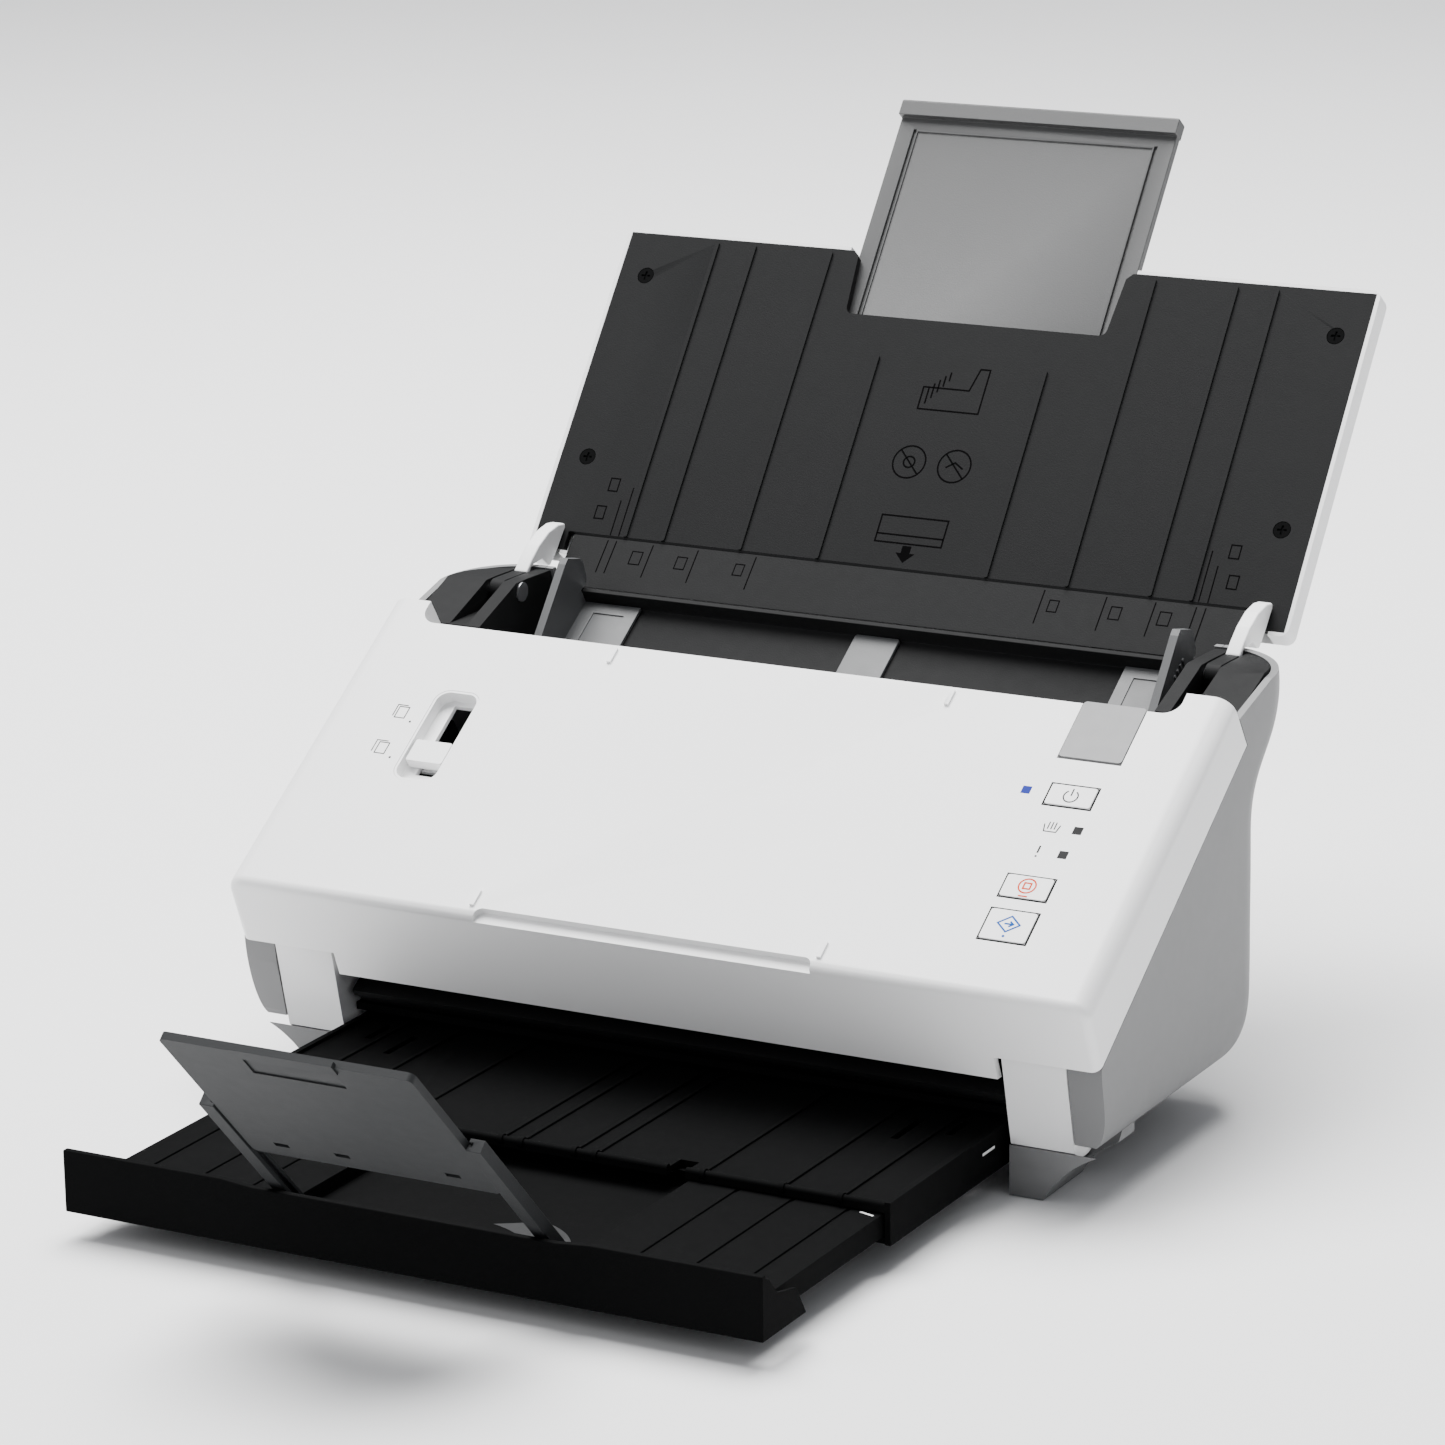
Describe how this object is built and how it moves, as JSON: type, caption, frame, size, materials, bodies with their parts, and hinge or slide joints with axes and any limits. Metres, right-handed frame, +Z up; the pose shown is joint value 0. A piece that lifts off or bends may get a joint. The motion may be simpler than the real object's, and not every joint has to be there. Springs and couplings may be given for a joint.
{
  "type": "sheet-fed document scanner",
  "caption": "Desktop sheet-fed duplex document scanner with hinged cover, folding paper support, sliding edge guides and pull-out output tray with a paper stopper.",
  "frame": {"origin": "centre of the bottom of the bounding box at rest, on the table", "axes": "+X to the user's right across the paper path, +Y from the paper exit to the rear, +Z up from the table"},
  "size_m": [0.297, 0.4812, 0.2772],
  "materials": {
    "white_shell": "fine satin moulded surface",
    "housing_grey": "fine matte texture",
    "dark_grey": "fine matte texture",
    "guide_grey": "fine matte texture",
    "extension_grey": "fine matte texture",
    "lever_grey": "fine matte texture",
    "black": "fine matte texture",
    "stopper_grey": "fine matte texture",
    "roller_rubber": "matt rubber",
    "steel": "turned",
    "glass": "clear float glass",
    "board": "solder resist",
    "blue_lens": "lit lens",
    "dark_lens": "unlit lens"
  },
  "bodies": {
    "base": {"left_side_cover": "housing_grey", "right_side_cover": "housing_grey", "rear_cover": "housing_grey", "base_frame": "black", "left_front_foot": "housing_grey", "right_front_foot": "housing_grey", "rear_feet": "roller_rubber", "left_rear_deck": "dark_grey", "right_rear_deck": "dark_grey", "support_hinge_pins": "steel", "cover_hinge_pins": "steel", "lower_paper_guide": "dark_grey", "guide_bridge": "guide_grey", "roller_bearings": "steel", "feed_motor": "steel", "drive_belt": "black", "lower_scan_unit": "dark_grey", "lower_scan_glass": "glass", "main_board": "board", "dc_inlet": "black", "usb_port": "steel", "tray_rails": "black"},
    "feed_roller": {"feed_roller_shaft": "steel", "feed_roller_tyres": "roller_rubber"},
    "transport_roller": {"transport_roller_shaft": "steel", "transport_roller_tyres": "roller_rubber"},
    "eject_roller": {"eject_roller_shaft": "steel", "eject_roller_tyres": "roller_rubber"},
    "motor_pulley": {"motor_pulley": "black"},
    "cover": {"cover_shell": "white_shell", "upper_paper_guide": "dark_grey", "hinge_blocks": "white_shell", "upper_scan_unit": "dark_grey", "upper_scan_glass": "glass", "control_board": "board", "power_led_window": "blue_lens", "status_led_windows": "dark_lens", "mode_switch_bezel": "white_shell"},
    "power_button": {"power_button": "white_shell"},
    "stop_button": {"stop_button": "white_shell"},
    "start_button": {"start_button": "white_shell"},
    "mode_switch": {"mode_switch_knob": "white_shell"},
    "release_lever": {"release_lever": "lever_grey"},
    "separation_roller": {"separation_roller": "roller_rubber"},
    "transport_pinch_rollers": {"transport_pinch_rollers": "roller_rubber"},
    "eject_pinch_rollers": {"eject_pinch_rollers": "roller_rubber"},
    "support": {"support_panel": "dark_grey", "support_back_shell": "white_shell", "support_hinge_arms": "dark_grey", "support_arm_ends": "white_shell", "support_screws": "black"},
    "support_extension": {"support_extension": "extension_grey"},
    "left_guide": {"left_edge_guide": "guide_grey"},
    "right_guide": {"right_edge_guide": "guide_grey"},
    "guide_pinion": {"guide_pinion": "black"},
    "tray_stage_one": {"tray_stage_one": "black"},
    "tray_stage_two": {"tray_stage_two": "black", "tray_front_panel": "black"},
    "stopper_frame": {"stopper_frame": "stopper_grey"},
    "stopper_panel": {"stopper_panel": "stopper_grey"}
  },
  "joints": [
    {"name": "cover_open", "type": "hinge", "parent": "base", "child": "cover", "pos_m": [0, -0.02087, 0.025], "axis": [1, 0, 0], "range_deg": [0, 45]},
    {"name": "power_press", "type": "slide", "parent": "cover", "child": "power_button", "axis": [0, 0.5446, -0.8387], "range_m": [0, 0.0008], "stiffness_N_per_m": 600},
    {"name": "stop_press", "type": "slide", "parent": "cover", "child": "stop_button", "axis": [0, 0.5446, -0.8387], "range_m": [0, 0.0008], "stiffness_N_per_m": 600},
    {"name": "start_press", "type": "slide", "parent": "cover", "child": "start_button", "axis": [0, 0.5446, -0.8387], "range_m": [0, 0.0008], "stiffness_N_per_m": 600},
    {"name": "mode_slide", "type": "slide", "parent": "cover", "child": "mode_switch", "axis": [0, 0.8387, 0.5446], "range_m": [0, 0.013]},
    {"name": "lever_lift", "type": "hinge", "parent": "cover", "child": "release_lever", "pos_m": [0, 0.03442, 0.11696], "axis": [1, 0, 0], "range_deg": [0, 20], "stiffness_Nm_per_rad": 0.05},
    {"name": "transport_roller_spin", "type": "hinge", "parent": "base", "child": "transport_roller", "pos_m": [0, 0.04385, 0.07122], "axis": [1, 0, 0], "continuous": true},
    {"name": "feed_roller_spin", "type": "hinge", "parent": "base", "child": "feed_roller", "pos_m": [0, 0.06729, 0.08286], "axis": [1, 0, 0], "continuous": true},
    {"name": "eject_roller_spin", "type": "hinge", "parent": "base", "child": "eject_roller", "pos_m": [0, -0.00311, 0.04072], "axis": [1, 0, 0], "continuous": true},
    {"name": "motor_pulley_spin", "type": "hinge", "parent": "base", "child": "motor_pulley", "pos_m": [0, 0.06463, 0.048], "axis": [1, 0, 0], "continuous": true},
    {"name": "separation_roller_spin", "type": "hinge", "parent": "cover", "child": "separation_roller", "pos_m": [0, 0.05776, 0.09754], "axis": [1, 0, 0], "continuous": true},
    {"name": "transport_pinch_spin", "type": "hinge", "parent": "cover", "child": "transport_pinch_rollers", "pos_m": [0, 0.03705, 0.0817], "axis": [1, 0, 0], "continuous": true},
    {"name": "eject_pinch_spin", "type": "hinge", "parent": "cover", "child": "eject_pinch_rollers", "pos_m": [0, -0.00992, 0.0512], "axis": [1, 0, 0], "continuous": true},
    {"name": "support_fold", "type": "hinge", "parent": "base", "child": "support", "pos_m": [0, 0.09263, 0.13131], "axis": [-1, 0, 0], "range_deg": [-160.7, 0]},
    {"name": "extension_slide", "type": "slide", "parent": "support", "child": "support_extension", "axis": [0, -0.6115, -0.7912], "range_m": [0, 0.052]},
    {"name": "left_guide_slide", "type": "slide", "parent": "base", "child": "left_guide", "axis": [1, 0, 0], "range_m": [0, 0.075]},
    {"name": "right_guide_slide", "type": "slide", "parent": "base", "child": "right_guide", "axis": [-1, 0, 0], "range_m": [0, 0.075]},
    {"name": "guide_pinion_turn", "type": "hinge", "parent": "base", "child": "guide_pinion", "pos_m": [0, 0.08254, 0.0961], "axis": [0, -0.5446, 0.8387], "range_deg": [-717.2, 0]},
    {"name": "tray_stage_one_slide", "type": "slide", "parent": "base", "child": "tray_stage_one", "axis": [0, 1, 0], "range_m": [0, 0.078]},
    {"name": "tray_stage_two_slide", "type": "slide", "parent": "tray_stage_one", "child": "tray_stage_two", "axis": [0, 1, 0], "range_m": [0, 0.07]},
    {"name": "stopper_fold", "type": "hinge", "parent": "tray_stage_two", "child": "stopper_frame", "pos_m": [0, -0.16567, 0.0149], "axis": [-1, 0, 0], "range_deg": [0, 133.7]},
    {"name": "stopper_push_in", "type": "slide", "parent": "stopper_frame", "child": "stopper_panel", "axis": [0, 0.6909, -0.723], "range_m": [0, 0.036]}
  ],
  "couplings": [
    {"joint": "feed_roller_spin", "follows": "transport_roller_spin", "ratio": 1},
    {"joint": "eject_roller_spin", "follows": "transport_roller_spin", "ratio": 1},
    {"joint": "motor_pulley_spin", "follows": "transport_roller_spin", "ratio": 1},
    {"joint": "separation_roller_spin", "follows": "transport_roller_spin", "ratio": -1.125},
    {"joint": "transport_pinch_spin", "follows": "transport_roller_spin", "ratio": -1},
    {"joint": "eject_pinch_spin", "follows": "transport_roller_spin", "ratio": -1},
    {"joint": "right_guide_slide", "follows": "left_guide_slide", "ratio": 1},
    {"joint": "guide_pinion_turn", "follows": "left_guide_slide", "rad_per_m": -166.67},
    {"joint": "stopper_push_in", "follows": "stopper_fold", "m_per_rad": 0.015412}
  ]
}
